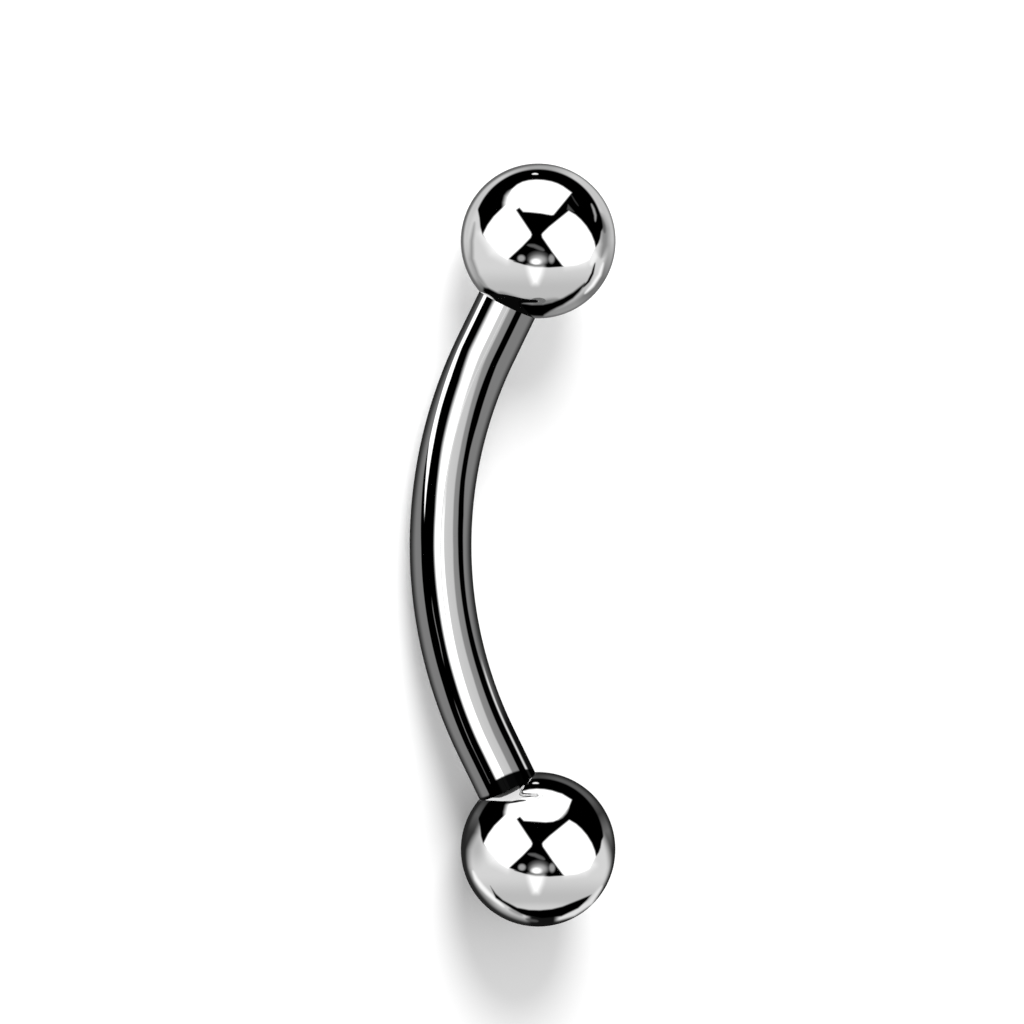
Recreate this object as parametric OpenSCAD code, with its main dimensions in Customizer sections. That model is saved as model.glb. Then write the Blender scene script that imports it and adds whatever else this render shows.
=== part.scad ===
// Curved eyebrow barbell: a bent round bar with a threaded post at each end, and two
// balls that screw onto the posts. Millimetres, +Z up.
// It lies on z = 0 as it would by itself, on both balls and on the middle of its bend.
// +Y runs from the lower ball to the upper one, and the bend bulges towards -X and down.
// The origin is the middle of the underside of its box.

/* [Bar] */
// Diameter of the bar, 16 gauge
bar_d = 1.2; // [1:0.05:1.6]
// Length of bar that shows between the balls, along its middle line
wearing_length = 9.6; // [8:0.1:12]
// Radius of the bend, at the bar's middle line
bend_radius = 8.8; // [7:0.1:12]
// Straight bar that shows between the bend and each ball
straight_end = 0.85; // [0.5:0.05:1.2]

/* [Thread] */
// How far the crests of the thread stand in from the bar's side
post_inset = 0.05; // [0.03:0.01:0.1]
// Length of each post, from the bar's shoulder to its tip
post_length = 1.45; // [1:0.05:1.6]
// Distance from one turn of the thread to the next
thread_pitch = 0.15; // [0.12:0.01:0.2]
// Plain neck between the shoulder and the thread
neck_length = 0.1; // [0.05:0.01:0.2]
// Height of the slope round the post's tip
tip_chamfer = 0.14; // [0.08:0.01:0.2]

/* [Balls] */
// Diameter of each ball
ball_d = 3; // [2.8:0.1:4]
// Depth of the plain seat in the ball that takes the end of the bar
seat_depth = 0.2; // [0.1:0.05:0.3]
// Width of the slope round the mouth of the seat
mouth_chamfer = 0.03; // [0.02:0.01:0.06]
// Angle between the two sides of the drilled hole's pointed end
drill_point = 118; // [90:2:140]

/* [Fits] */
// Gap all round between the bar and the seat
seat_gap = 0.02; // [0.01:0.01:0.04]
// Gap all round between the thread's crests and the hole
thread_gap = 0.02; // [0.01:0.01:0.03]
// Gap between the bar's shoulder and the floor of the seat
shoulder_gap = 0.02; // [0.01:0.01:0.04]
// Room left in the hole past the post's tip
tip_gap = 0.12; // [0.05:0.01:0.2]

/* [Hidden] */
$fn = 64;

// Depth of a sharp 60 degree thread for each millimetre of pitch, with flat crests
THREAD_SHAPE = 0.6134;
// Share of the pitch that the flat crest takes
CREST_SHARE = 0.2;
// How far a cut runs past the face that it opens
OVERCUT = 0.5;
// The straight ends run this far into the bend, and stand this little proud of it,
// so that the two surfaces meet in a clean edge
END_OVERLAP = 0.02;
END_STEP = 0.002;

bar_r = bar_d / 2;
end_r = bar_r + END_STEP;
ball_r = ball_d / 2;

// The bend is an arc in a plane, and each straight end points at its ball's centre.
half_bend = (wearing_length / 2 - straight_end) / bend_radius * 180 / PI;
bend_end_to_ball = straight_end + ball_r;
half_span = bend_radius * sin(half_bend) + bend_end_to_ball * cos(half_bend);
bulge = bend_radius * (1 - cos(half_bend)) + bend_end_to_ball * sin(half_bend);

// Resting angle: the plane of the bend tips down until the bar's middle touches the floor.
lie_tilt = asin((ball_r - bar_r) / bulge);
bulge_side = bulge * cos(lie_tilt) + bar_r;
centre_x = (bulge_side - ball_r) / 2;

// Heights inside a ball, from its centre, with the post's axis along Z and the mouth at -Z
seat_r = bar_r + seat_gap;
mouth_z = -sqrt(pow(ball_r, 2) - pow(seat_r, 2));
seat_z = mouth_z + seat_depth;
shoulder_z = seat_z - shoulder_gap;
tip_z = shoulder_z + post_length;
hole_end_z = tip_z + tip_gap;

thread_r = bar_r - post_inset;
thread_depth = THREAD_SHAPE * thread_pitch;
root_r = thread_r - thread_depth;
hole_r = thread_r + thread_gap;
turns = floor((post_length - neck_length - tip_chamfer) / thread_pitch);
crest_half = CREST_SHARE * thread_pitch / 2;
drill_depth = hole_r / tan(drill_point / 2);

// Lays what is drawn in the plane of the bend onto the floor
module lay_down() {
    translate([centre_x, 0, ball_r])
        rotate([0, -lie_tilt, 0])
            children();
}

// Puts a child drawn round a ball's centre at one end: side 1 is the upper end, -1 the lower
module at_ball(side) {
    translate([0, side * half_span, 0])
        rotate([-side * 90, 0, 0])
            rotate([0, half_bend, 0])
                children();
}

// The bend alone: an arc of the bar about an axis along Z
module bend() {
    translate([bend_radius - bulge, 0, 0])
        rotate([0, 0, 180 - half_bend])
            rotate_extrude(angle = 2 * half_bend)
                translate([bend_radius, 0])
                    circle(r = bar_r);
}

// One end of the bar in the ball's frame: the straight stretch from the bend to the shoulder
// inside the ball, then the threaded post, with rings of the thread's own profile
module threaded_end() {
    start_z = -bend_end_to_ball - END_OVERLAP;
    thread_start = shoulder_z + neck_length;
    crests = [for (i = [0 : turns - 1]) thread_start + (i + 0.5) * thread_pitch];
    profile = concat(
        [[0, start_z], [end_r, start_z], [end_r, shoulder_z]],
        [[root_r, shoulder_z], [root_r, thread_start]],
        [for (z = crests) each [
            [thread_r, z - crest_half],
            [thread_r, z + crest_half],
            [root_r, z + thread_pitch / 2]
        ]],
        [[root_r, tip_z - tip_chamfer], [root_r - tip_chamfer, tip_z], [0, tip_z]]
    );
    rotate_extrude()
        polygon(profile);
}

// Ball about its own centre, with its seat and its blind hole open towards -Z
module ball() {
    difference() {
        sphere(r = ball_r);
        translate([0, 0, mouth_z - OVERCUT])
            cylinder(r = seat_r, h = seat_depth + OVERCUT);
        translate([0, 0, mouth_z])
            cylinder(r1 = seat_r + mouth_chamfer, r2 = seat_r, h = mouth_chamfer);
        translate([0, 0, seat_z - OVERCUT])
            cylinder(r = hole_r, h = hole_end_z - seat_z + OVERCUT);
        translate([0, 0, hole_end_z])
            cylinder(r1 = hole_r, r2 = 0, h = drill_depth);
    }
}

module curved_bar() {
    color("silver")
        lay_down() {
            bend();
            for (side = [-1, 1])
                at_ball(side)
                    threaded_end();
        }
}

module upper_ball() {
    color("gainsboro")
        lay_down()
            at_ball(1)
                ball();
}

module lower_ball() {
    color("gainsboro")
        lay_down()
            at_ball(-1)
                ball();
}

curved_bar();
upper_ball();
lower_ball();
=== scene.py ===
# %% [markdown]
# # A curved eyebrow barbell in polished steel
#
# The real object is a short bent bar that sits through a fold of skin above the eye, with a small
# ball screwed onto each end. It has only three pieces, so its looks rest on two things: clean round
# shapes, and what the mirror finish reflects.
#
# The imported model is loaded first. It fixes the size and place of everything, and each piece made
# below takes the place of one of its solids.

import math

import bpy
import numpy as np
from mathutils import Matrix, Vector


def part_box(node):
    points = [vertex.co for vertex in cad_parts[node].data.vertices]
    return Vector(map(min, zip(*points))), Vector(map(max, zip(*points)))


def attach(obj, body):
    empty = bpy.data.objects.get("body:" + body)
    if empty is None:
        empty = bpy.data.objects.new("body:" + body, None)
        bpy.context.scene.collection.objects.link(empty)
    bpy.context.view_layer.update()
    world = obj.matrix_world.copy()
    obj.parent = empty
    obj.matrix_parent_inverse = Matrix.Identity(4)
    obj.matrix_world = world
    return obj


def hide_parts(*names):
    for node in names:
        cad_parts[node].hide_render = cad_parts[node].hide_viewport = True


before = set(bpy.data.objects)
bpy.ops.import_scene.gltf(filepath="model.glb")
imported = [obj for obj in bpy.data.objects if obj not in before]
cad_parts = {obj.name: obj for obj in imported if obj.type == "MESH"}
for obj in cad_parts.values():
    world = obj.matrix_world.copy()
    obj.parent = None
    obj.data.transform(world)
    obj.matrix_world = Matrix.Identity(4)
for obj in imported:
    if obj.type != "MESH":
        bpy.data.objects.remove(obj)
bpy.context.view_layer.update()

# %% [markdown]
# ## Sizes
#
# Blender works in metres and the source of the solids in millimetres, so each size is written in
# millimetres times MM. The bend and the resting angle follow from the sizes above them by the same
# rules as in the source: each straight end of the bar points at the middle of its ball, and the
# barbell lies on its two balls and on the middle of its bend.

# %% Sizes of the barbell
MM = 0.001
BAR_RADIUS = 0.6 * MM
WEARING_LENGTH = 9.6 * MM
BEND_RADIUS = 8.8 * MM
STRAIGHT_END = 0.85 * MM
BALL_RADIUS = 1.5 * MM
SEAT_DEPTH = 0.2 * MM
MOUTH_CHAMFER = 0.03 * MM
FIT_GAP = 0.02 * MM
POST_LENGTH = 1.45 * MM
NECK_LENGTH = 0.1 * MM
TIP_CHAMFER = 0.14 * MM
TIP_GAP = 0.12 * MM
PITCH = 0.15 * MM
CREST_RADIUS = 0.55 * MM
ROOT_RADIUS = CREST_RADIUS - 0.6134 * PITCH
DRILL_HALF_ANGLE = math.radians(59)

half_bend = (WEARING_LENGTH / 2 - STRAIGHT_END) / BEND_RADIUS
bend_to_ball = STRAIGHT_END + BALL_RADIUS
bulge = BEND_RADIUS * (1 - math.cos(half_bend)) + bend_to_ball * math.sin(half_bend)
lie_tilt = math.asin((BALL_RADIUS - BAR_RADIUS) / bulge)
middle_x = (bulge * math.cos(lie_tilt) + BAR_RADIUS - BALL_RADIUS) / 2
print(f"half bend {math.degrees(half_bend):.2f} deg, resting tilt {math.degrees(lie_tilt):.2f} deg")

# %% [markdown]
# Along the straightened bar, heights are measured from its middle. A ball's own heights are
# measured from the ball's middle, which stands at the height ball_middle.

# %% Heights along the straightened barbell
ball_middle = BEND_RADIUS * half_bend + bend_to_ball
seat_radius = BAR_RADIUS + FIT_GAP
hole_radius = CREST_RADIUS + FIT_GAP
mouth = -math.sqrt(BALL_RADIUS**2 - seat_radius**2)
seat_floor = mouth + SEAT_DEPTH
shoulder = seat_floor - FIT_GAP
thread_start = shoulder + NECK_LENGTH
tip = shoulder + POST_LENGTH
turns = math.floor((POST_LENGTH - NECK_LENGTH - TIP_CHAMFER) / PITCH)
thread_end = thread_start + turns * PITCH
print(f"{turns} turns of thread, bar {2000 * (ball_middle + tip):.2f} mm long before it is bent")

# %% [markdown]
# ## Turned shapes
#
# A bar and a ball are both made on a lathe, so one function makes both: it spins an outline about
# the Z axis. Blender's Spin tool would do the same, but a function of our own can also mark the
# rings where the outline turns a corner as sharp edges, while everything else is shaded smooth.
# A mirror finish shows every flat face, so the rows are close together.

# %% Spin an outline into a mesh
def stretch(start, end, spacing):
    """Points of an outline from start up to end, which is left to the next stretch."""
    count = max(1, round(math.dist(start, end) / spacing))
    return [tuple(np.add(start, np.subtract(end, start) * i / count)) for i in range(count)]


def corner_angle(before, point, after):
    """How far an outline turns at a point, in degrees."""
    first = math.atan2(point[1] - before[1], point[0] - before[0])
    second = math.atan2(after[1] - point[1], after[0] - point[0])
    turn = abs(math.degrees(second - first)) % 360
    return min(turn, 360 - turn)


def turned(name, outline, columns):
    """Spins an outline of (radius, height) about Z, from pole to pole, with the solid on its left."""
    points, rings = [], []
    for radius, height in outline:
        spokes = columns if radius > 0 else 1
        rings.append([len(points) + i % spokes for i in range(columns)])
        turn = [2 * math.pi * i / columns for i in range(spokes)]
        points += [(radius * math.cos(a), radius * math.sin(a), height) for a in turn]
    faces = []
    for low, high in zip(rings, rings[1:]):
        for i in range(columns):
            j = (i + 1) % columns
            faces.append(list(dict.fromkeys([low[i], low[j], high[j], high[i]])))
    mesh = bpy.data.meshes.new(name)
    mesh.from_pydata(points, [], faces)
    mesh.shade_smooth()
    corners = set()
    for i in range(1, len(outline) - 1):
        if corner_angle(*outline[i - 1 : i + 2]) > 25:
            corners.add(frozenset(rings[i]))
    ring_of = {point: ring for ring in corners for point in ring}
    for edge in mesh.edges:
        first, second = (ring_of.get(v) for v in edge.vertices)
        edge.use_edge_sharp = first is not None and first == second
    print(f"{name}: {len(points)} points, {len(faces)} faces, {len(corners)} sharp rings")
    return mesh


# %% [markdown]
# The bar is drawn straight, from the tip of one post to the tip of the other. Its two halves are
# the same outline, once upside down. The posts are plain here, at the thread's root radius, with
# sixteen rows to each turn of the thread that is cut into them later.

# %% Outline of the straight bar
COLUMNS = 128
BEND_ROW = 0.06 * MM
THREAD_ROW = PITCH / 16
EDGE_ROUNDING = 0.02 * MM

shoulder_corner = [
    (BAR_RADIUS - EDGE_ROUNDING * (1 - math.cos(a)), shoulder - EDGE_ROUNDING * (1 - math.sin(a)))
    for a in np.linspace(0, math.pi / 2, 5)
]
half_bar = [
    *stretch((BAR_RADIUS, -ball_middle), (BAR_RADIUS, shoulder - EDGE_ROUNDING), BEND_ROW),
    *shoulder_corner,
    *stretch((ROOT_RADIUS, shoulder), (ROOT_RADIUS, thread_start), THREAD_ROW),
    *stretch((ROOT_RADIUS, thread_start), (ROOT_RADIUS, thread_end), THREAD_ROW),
    (ROOT_RADIUS, tip - TIP_CHAMFER),
    (ROOT_RADIUS - TIP_CHAMFER, tip),
    (0, tip),
]
upper_half = [(radius, height + ball_middle) for radius, height in half_bar]
lower_half = [(radius, -height) for radius, height in reversed(upper_half[1:])]
straight_bar = turned("straight_bar", lower_half + upper_half, COLUMNS)

# %% [markdown]
# A ball's outline starts at the bottom of its blind hole, comes out through the mouth and goes
# round the outside to the far pole. The mouth has a small chamfer, the way a screwed ball does, so
# that its edge doesn't scratch. Where the chamfer meets the round outside is worked out from the
# slope of the ball there.

# %% Outline of a ball
SPHERE_ROWS = 150

hole_end = tip + TIP_GAP
drill_depth = hole_radius / math.tan(DRILL_HALF_ANGLE)
lip_rise = MOUTH_CHAMFER / (1 - mouth / seat_radius)
lip_angle = math.atan2(mouth + lip_rise, seat_radius + MOUTH_CHAMFER - lip_rise)
sphere_arc = [
    (BALL_RADIUS * math.cos(a), BALL_RADIUS * math.sin(a))
    for a in np.linspace(lip_angle, math.pi / 2, SPHERE_ROWS)
]
ball_outline = [
    (0, hole_end + drill_depth),
    *stretch((hole_radius, hole_end), (hole_radius, seat_floor), THREAD_ROW),
    (hole_radius, seat_floor),
    (seat_radius, seat_floor),
    (seat_radius, mouth + MOUTH_CHAMFER),
    *sphere_arc[:-1],
    (0, BALL_RADIUS),
]
balls = {}
for end, side in (("upper", 1), ("lower", -1)):
    balls[end] = turned(f"straight_{end}_ball", ball_outline, 192)
    balls[end].transform(Matrix.Translation((0, 0, ball_middle)))
    if side < 0:
        balls[end].transform(Matrix.Rotation(math.pi, 4, "X"))

# %% [markdown]
# ## Thread, bend and resting place by Geometry Nodes
#
# All three pieces stand on one straight axis now. The real bar is threaded while it is straight and
# bent afterwards, and the nodes do the same: they cut a right-handed thread, bend the axis, and lay
# the result down on the floor. One tree serves the bar and both balls, because a ball sits wholly
# past the bend, where bending only carries it along. It could be done in Python too, but as nodes
# each size stays an input that can be changed on the modifier.
#
# The two helpers keep the code that builds a tree short. `put` adds a node, and `calc` adds a Math
# node; both return what the next node needs.

# %% Helpers for building node trees
def put(tree, kind, inputs=None, **options):
    """Adds a node to the right of the others. inputs maps a socket's name or number to a value or
    to another node's socket, and options are the node's own settings."""
    node = tree.nodes.new(kind)
    count = len(tree.nodes)
    node.location = (190 * (count % 10), -260 * (count // 10))
    for option, value in options.items():
        setattr(node, option, value)
    for socket, value in (inputs or {}).items():
        if isinstance(value, bpy.types.NodeSocket):
            tree.links.new(value, node.inputs[socket])
        else:
            node.inputs[socket].default_value = value
    return node


def calc(tree, operation, *values, clamp=False):
    """Adds a Math node and returns its result."""
    numbered = dict(enumerate(values))
    return put(tree, "ShaderNodeMath", numbered, operation=operation, use_clamp=clamp).outputs[0]


def new_tree(name, kind, inputs, outputs):
    """An empty group with named sockets, and its two ends."""
    tree = bpy.data.node_groups.new(name, kind)
    for in_out, sockets in (("INPUT", inputs), ("OUTPUT", outputs)):
        for socket, (socket_type, default) in sockets.items():
            made = tree.interface.new_socket(socket, in_out=in_out, socket_type=socket_type)
            if default is not None:
                made.default_value = default
    return tree, put(tree, "NodeGroupInput"), put(tree, "NodeGroupOutput")


NUMBER, LENGTH, ANGLE = "NodeSocketFloat", "NodeSocketFloat", "NodeSocketFloat"
GEOMETRY, VECTOR, MATERIAL = "NodeSocketGeometry", "NodeSocketVector", "NodeSocketMaterial"

# %% [markdown]
# The thread is a helix: its phase is the height divided by the pitch, less the share of a full
# turn gone round the axis. A point's distance from the middle of a crest then gives its radius, by
# one Map Range that makes a flat crest, a sloping side and a root. The thread fades in over half a
# pitch at each end, as a cut thread runs out. How strongly a point is cut is kept as an attribute,
# because a cut surface is less shiny than a polished one.

# %% Group that cuts the thread
thread_tree, given, result = new_tree(
    "screw_thread",
    "GeometryNodeTree",
    {
        "Geometry": (GEOMETRY, None),
        "Pitch": (LENGTH, PITCH),
        "Crest Radius": (LENGTH, CREST_RADIUS),
        "Root Radius": (LENGTH, ROOT_RADIUS),
        "Crest Share": (NUMBER, 0.2),
        "Root Share": (NUMBER, 0.05),
        "Thread Start": (LENGTH, 0.0),
        "Thread End": (LENGTH, 0.0),
        "Reach": (LENGTH, hole_radius + FIT_GAP),
    },
    {"Geometry": (GEOMETRY, None)},
)

# %% [markdown]
# Each point's height and its direction round the axis give its phase. Half a turn of phase away
# from the middle of a crest is the middle of a root.

# %% Radius that the thread asks for
place = put(thread_tree, "GeometryNodeInputPosition").outputs[0]
x, y, z = put(thread_tree, "ShaderNodeSeparateXYZ", {0: place}).outputs
radius = calc(thread_tree, "SQRT", calc(
    thread_tree, "ADD", calc(thread_tree, "MULTIPLY", x, x), calc(thread_tree, "MULTIPLY", y, y)
))
turn_share = calc(thread_tree, "DIVIDE", calc(thread_tree, "ARCTAN2", y, x), 2 * math.pi)
phase = calc(thread_tree, "FRACT", calc(
    thread_tree, "SUBTRACT", calc(thread_tree, "DIVIDE", z, given.outputs["Pitch"]), turn_share
))
from_crest = calc(thread_tree, "ABSOLUTE", calc(thread_tree, "SUBTRACT", phase, 0.5))
cut_radius = put(thread_tree, "ShaderNodeMapRange", {
    "Value": from_crest,
    "From Min": calc(thread_tree, "DIVIDE", given.outputs["Crest Share"], 2.0),
    "From Max": calc(thread_tree, "SUBTRACT", 0.5, calc(
        thread_tree, "DIVIDE", given.outputs["Root Share"], 2.0
    )),
    "To Min": given.outputs["Crest Radius"],
    "To Max": given.outputs["Root Radius"],
}).outputs[0]

# %% [markdown]
# The thread is cut only between its start and its end, and only on the post or in the hole. The
# group moves those points straight out or in, so its size across the axis changes and its height
# doesn't.

# %% Where the thread is cut
from_middle = calc(thread_tree, "ABSOLUTE", z)
into_thread = calc(
    thread_tree,
    "MINIMUM",
    calc(thread_tree, "SUBTRACT", from_middle, given.outputs["Thread Start"]),
    calc(thread_tree, "SUBTRACT", given.outputs["Thread End"], from_middle),
)
half_pitch = calc(thread_tree, "DIVIDE", given.outputs["Pitch"], 2.0)
fade = calc(thread_tree, "DIVIDE", into_thread, half_pitch, clamp=True)
cut = calc(thread_tree, "MULTIPLY", fade, calc(
    thread_tree, "LESS_THAN", radius, given.outputs["Reach"]
))
grown = calc(thread_tree, "MULTIPLY", cut, calc(
    thread_tree, "SUBTRACT", calc(thread_tree, "DIVIDE", cut_radius, radius), 1.0
))
stretch_by = calc(thread_tree, "ADD", grown, 1.0)
threaded_place = put(thread_tree, "ShaderNodeVectorMath", {
    0: place,
    1: put(thread_tree, "ShaderNodeCombineXYZ", {0: stretch_by, 1: stretch_by, 2: 1.0}).outputs[0],
}, operation="MULTIPLY").outputs[0]
marked = put(thread_tree, "GeometryNodeStoreNamedAttribute", {
    "Geometry": given.outputs["Geometry"], "Name": "thread_cut", "Value": cut,
}, data_type="FLOAT", domain="POINT")
threaded = put(thread_tree, "GeometryNodeSetPosition", {
    "Geometry": marked.outputs[0], "Position": threaded_place,
})
thread_tree.links.new(threaded.outputs[0], result.inputs[0])
print("screw_thread:", len(thread_tree.nodes), "nodes")

# %% [markdown]
# Bending carries each point with the axis: within the bend, the height becomes an angle, and past
# it, the point goes on in a straight line. The lathe's own coordinates are stored first, so that
# the polish on the metal can follow the bar round its bend. At the end the plane of the bend tips
# down by the resting angle, which lands the barbell on the floor.

# %% Tree that finishes a straight piece
finish_tree, given, result = new_tree(
    "barbell_piece",
    "GeometryNodeTree",
    {
        "Geometry": (GEOMETRY, None),
        "Crest Radius": (LENGTH, CREST_RADIUS),
        "Root Radius": (LENGTH, ROOT_RADIUS),
        "Root Share": (NUMBER, 0.05),
        "Thread Start": (LENGTH, 0.0),
        "Thread End": (LENGTH, 0.0),
        "Bend Radius": (LENGTH, BEND_RADIUS),
        "Half Bend": (ANGLE, half_bend),
        "Bulge": (LENGTH, bulge),
        "Resting Tilt": (ANGLE, lie_tilt),
        "Middle": (LENGTH, middle_x),
        "Lift": (LENGTH, BALL_RADIUS),
        "Finish": (MATERIAL, None),
    },
    {"Geometry": (GEOMETRY, None)},
)
place = put(finish_tree, "GeometryNodeInputPosition").outputs[0]
stored = put(finish_tree, "GeometryNodeStoreNamedAttribute", {
    "Geometry": given.outputs["Geometry"], "Name": "lathe_place", "Value": place,
}, data_type="FLOAT_VECTOR", domain="POINT")
threaded = put(finish_tree, "GeometryNodeGroup", node_tree=thread_tree)
finish_tree.links.new(stored.outputs[0], threaded.inputs["Geometry"])
for size in ("Crest Radius", "Root Radius", "Root Share", "Thread Start", "Thread End"):
    finish_tree.links.new(given.outputs[size], threaded.inputs[size])

# %% [markdown]
# The bend swings each point round the centre of the arc. Its angle is the height along the straight
# axis over the bend's radius, held within half the bend on each side. What is left of the height
# past the bend goes on along the straight end.

# %% Bend the axis
x, y, z = put(finish_tree, "ShaderNodeSeparateXYZ", {0: place}).outputs
bend_radius_in = given.outputs["Bend Radius"]
half_bend_in = given.outputs["Half Bend"]
angle = calc(finish_tree, "MAXIMUM", calc(finish_tree, "MULTIPLY", half_bend_in, -1.0), calc(
    finish_tree, "MINIMUM", half_bend_in, calc(finish_tree, "DIVIDE", z, bend_radius_in)
))
from_centre = put(finish_tree, "ShaderNodeCombineXYZ", {
    0: calc(finish_tree, "SUBTRACT", x, bend_radius_in),
    1: calc(finish_tree, "SUBTRACT", z, calc(finish_tree, "MULTIPLY", angle, bend_radius_in)),
    2: calc(finish_tree, "MULTIPLY", y, -1.0),
}).outputs[0]
swung = put(finish_tree, "ShaderNodeVectorRotate", {
    "Vector": from_centre, "Angle": calc(finish_tree, "MULTIPLY", angle, -1.0),
}, rotation_type="Z_AXIS").outputs[0]
bent_place = put(finish_tree, "ShaderNodeVectorMath", {
    0: swung,
    1: put(finish_tree, "ShaderNodeCombineXYZ", {
        0: calc(finish_tree, "SUBTRACT", bend_radius_in, given.outputs["Bulge"]),
    }).outputs[0],
}, operation="ADD").outputs[0]
bent = put(finish_tree, "GeometryNodeSetPosition", {
    "Geometry": threaded.outputs[0], "Position": bent_place,
})

# %% [markdown]
# The last nodes lay the piece down, make it real and give it its material.

# %% Lay it on the floor
laid = put(finish_tree, "GeometryNodeTransform", {
    "Geometry": bent.outputs[0],
    "Translation": put(finish_tree, "ShaderNodeCombineXYZ", {
        0: given.outputs["Middle"], 2: given.outputs["Lift"],
    }).outputs[0],
    "Rotation": put(finish_tree, "ShaderNodeCombineXYZ", {
        1: calc(finish_tree, "MULTIPLY", given.outputs["Resting Tilt"], -1.0),
    }).outputs[0],
})
real = put(finish_tree, "GeometryNodeRealizeInstances", {"Geometry": laid.outputs[0]})
coated = put(finish_tree, "GeometryNodeSetMaterial", {
    "Geometry": real.outputs[0], "Material": given.outputs["Finish"],
})
finish_tree.links.new(coated.outputs[0], result.inputs[0])
print("barbell_piece:", len(finish_tree.nodes), "nodes")

# %% [markdown]
# ## Polished steel
#
# Real body jewellery is turned, then tumbled and buffed until it is a mirror, so at arm's length
# it has no texture of its own. Close up, the buffing wheel's hairlines still run one way, and here
# and there the film left by handling dulls the mirror a little. A shader node group makes those
# marks once for both metals: it stretches a fine noise into hairlines and adds a slow noise for
# the film. Only roughness, tone and a very low relief come out of it, so the reflections stay crisp.
# The cut thread is rougher and darker than the polished faces.

# %% Shader group for the marks of polishing
HAIRLINE_BAND = (0.56, 0.74)
HAIRLINE_DARKENS = 0.02
FILM_SCALE = 900.0
FILM_BAND = (0.5, 0.75)
FILM_DARKENS = 0.015
CUT_ROUGHENS = 0.16
CUT_DARKENS = 0.12

marks_tree, given, result = new_tree(
    "polish_marks",
    "ShaderNodeTree",
    {
        "Place": (VECTOR, None),
        "Grain": (VECTOR, (1.0, 1.0, 1.0)),
        "Base Roughness": (NUMBER, 0.02),
        "Hairlines": (NUMBER, 0.02),
        "Film": (NUMBER, 0.02),
        "Cut": (NUMBER, 0.0),
    },
    {
        "Tone": (NUMBER, None),
        "Roughness": (NUMBER, None),
        "Height": (NUMBER, None),
    },
)
along_grain = put(marks_tree, "ShaderNodeVectorMath", {
    0: given.outputs["Place"], 1: given.outputs["Grain"],
}, operation="MULTIPLY").outputs[0]
hairline_noise = put(marks_tree, "ShaderNodeTexNoise", {
    "Vector": along_grain, "Scale": 1.0, "Detail": 3.0, "Roughness": 0.6,
}).outputs[0]
film_noise = put(marks_tree, "ShaderNodeTexNoise", {
    "Vector": given.outputs["Place"], "Scale": FILM_SCALE, "Detail": 2.0, "Roughness": 0.45,
}).outputs[0]
hairlines = put(marks_tree, "ShaderNodeMapRange", {
    "Value": hairline_noise, "From Min": HAIRLINE_BAND[0], "From Max": HAIRLINE_BAND[1],
}, interpolation_type="SMOOTHSTEP").outputs[0]
film = put(marks_tree, "ShaderNodeMapRange", {
    "Value": film_noise, "From Min": FILM_BAND[0], "From Max": FILM_BAND[1],
}, interpolation_type="SMOOTHSTEP").outputs[0]
polished = calc(marks_tree, "ADD", given.outputs["Base Roughness"], calc(
    marks_tree,
    "ADD",
    calc(marks_tree, "MULTIPLY", hairlines, given.outputs["Hairlines"]),
    calc(marks_tree, "MULTIPLY", film, given.outputs["Film"]),
))
roughness = calc(marks_tree, "ADD", polished, calc(
    marks_tree, "MULTIPLY", given.outputs["Cut"], CUT_ROUGHENS
))
film_tone = calc(marks_tree, "MULTIPLY", film, FILM_DARKENS)
dulled = calc(marks_tree, "MULTIPLY_ADD", hairlines, HAIRLINE_DARKENS, film_tone)
dulled = calc(marks_tree, "MULTIPLY_ADD", given.outputs["Cut"], CUT_DARKENS, dulled)
tone = calc(marks_tree, "SUBTRACT", 1.0, dulled)
for name, value in (("Tone", tone), ("Roughness", roughness), ("Height", hairline_noise)):
    marks_tree.links.new(value, result.inputs[name])
print("polish_marks:", len(marks_tree.nodes), "nodes")

# %% [markdown]
# Each material is a plain metal that takes its marks from the group. The bar is drawn and buffed
# lengthwise, so its hairlines are stretched along the lathe's axis. The balls are turned and
# polished on a spindle, so theirs run round that axis. Both read the stored lathe coordinates, so
# the marks follow the bend and stay put when a ball comes off.
#
# At the lower joint the bar's stripes stop short of the ball, in a dark collar: the bar mirrors the
# ball's dark side there. The collar is painted shade, a darker tone of the metal by height along
# the lathe's axis that stands in for that reflection. It is longest on the front, and the outer side
# of the bend stays bright almost down to the ball.

# %% Materials for the two kinds of piece
STEEL_REFLECTANCE = 0.80
BAR_GRAIN = (40000, 40000, 300)
BAR_ROUGHNESS = 0.02
BALL_GRAIN = (900, 900, 30000)
BALL_ROUGHNESS = 0.015
HAIRLINE_RELIEF = 0.02e-6
# The collar at the lower joint is painted shade: these set its length, rise, fade and darkness.
PAINTED_SHADE_AT_SIDE = 0.03 * MM
PAINTED_SHADE_IN_FRONT = 0.26 * MM
PAINTED_SHADE_FADE = 0.045 * MM
PAINTED_SHADE_RISE = (-0.66 * BAR_RADIUS, -0.4 * BAR_RADIUS)
PAINTED_SHADE_TONE = 0.004


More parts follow.
